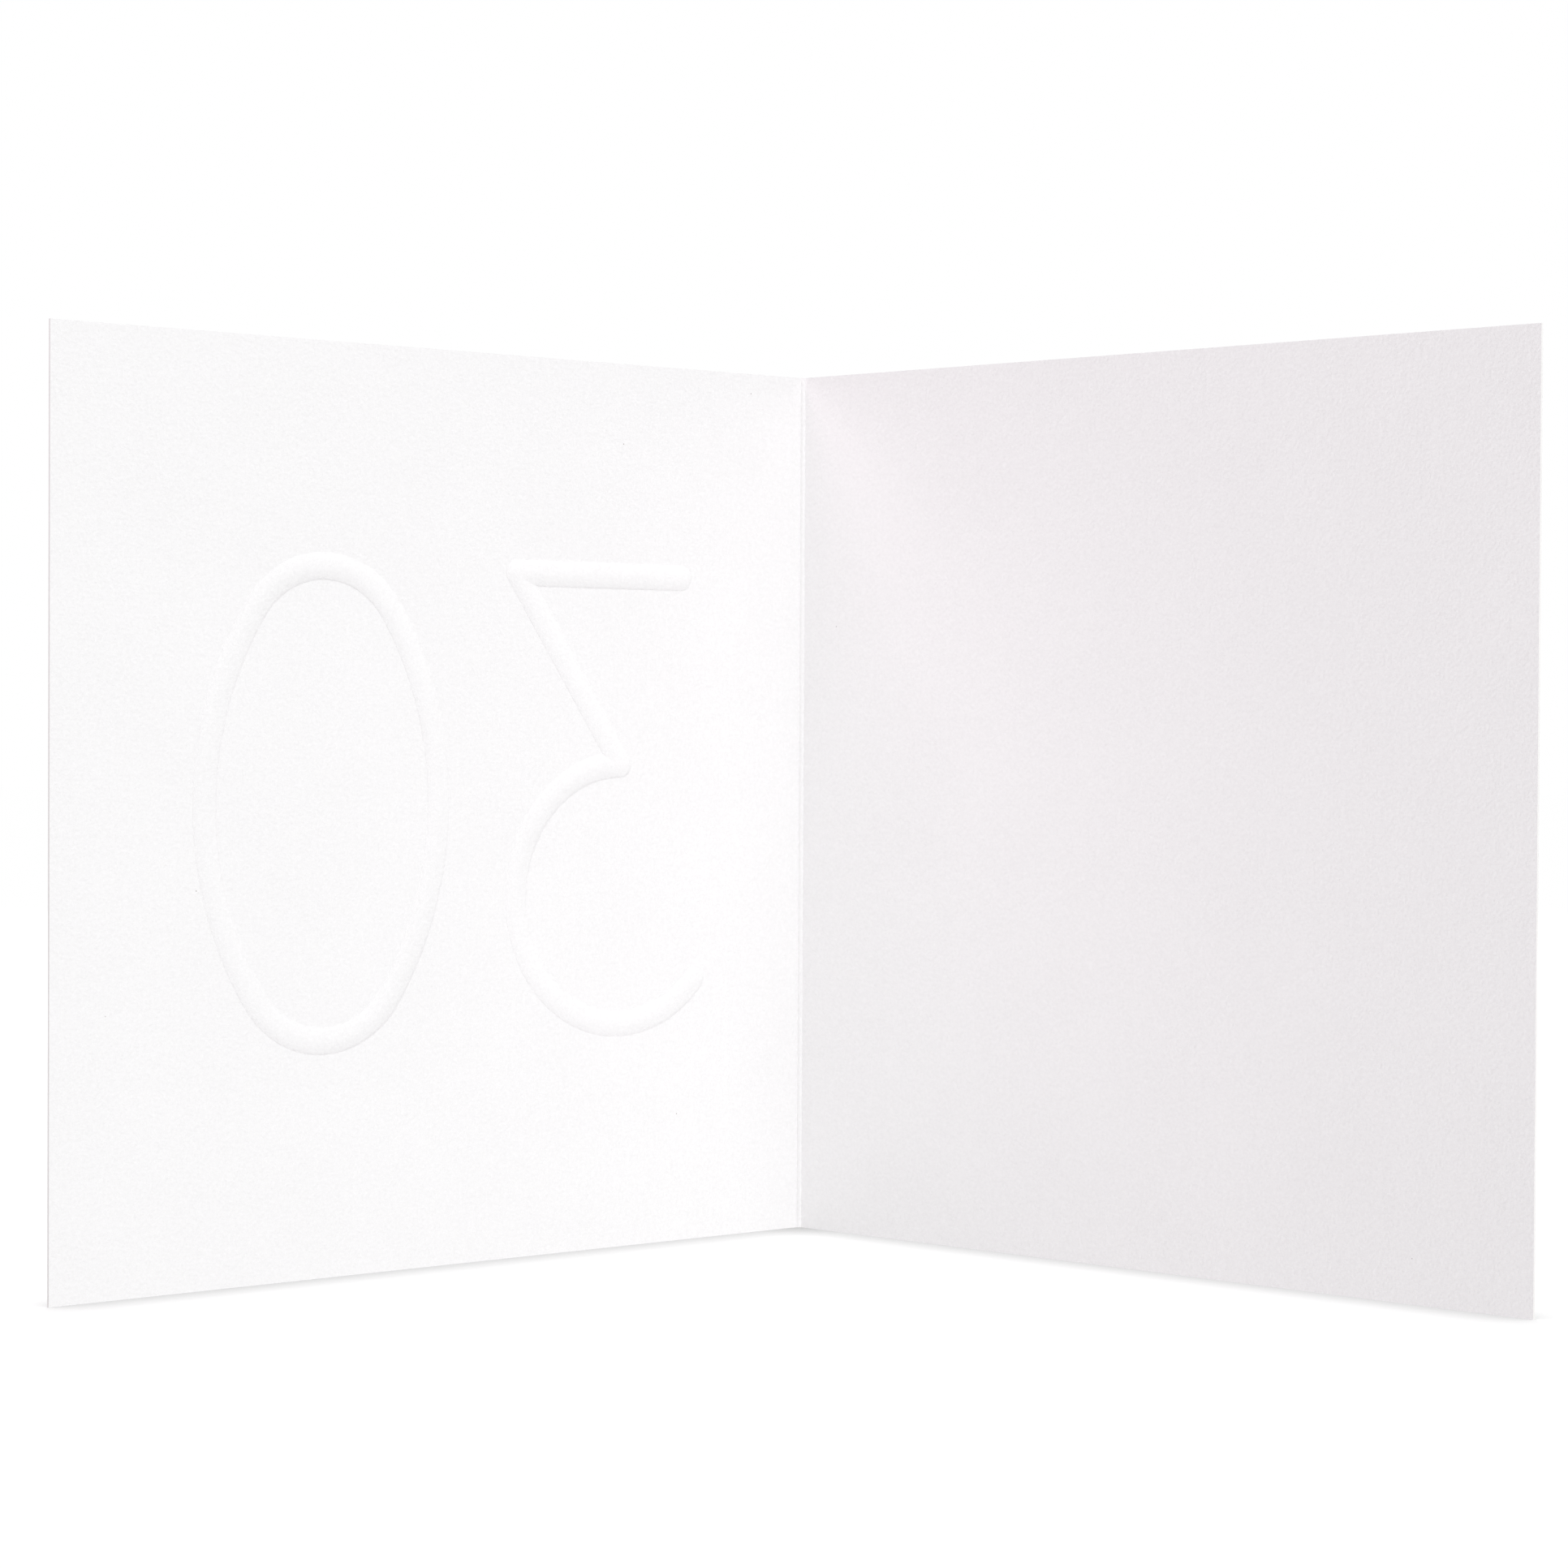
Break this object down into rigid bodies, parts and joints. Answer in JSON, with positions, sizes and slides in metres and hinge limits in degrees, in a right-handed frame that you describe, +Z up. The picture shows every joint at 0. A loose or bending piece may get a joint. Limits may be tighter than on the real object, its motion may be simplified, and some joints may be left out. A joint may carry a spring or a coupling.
{
  "type": "greeting card",
  "caption": "Square greeting card folded once from heavy white felt-finish board, standing open in a V, with a blind-embossed number on its front leaf.",
  "frame": {"origin": "on the table, at the middle of the footprint of the open card", "axes": "+X across the open card from the front leaf's side to the back leaf's side, as seen from inside; +Y from the open mouth to the fold; +Z up along the fold"},
  "size_m": [0.2252, 0.0998, 0.15],
  "materials": {
    "board": "matte felt-marked white board"
  },
  "bodies": {
    "root": {"card": "board"}
  },
  "joints": []
}
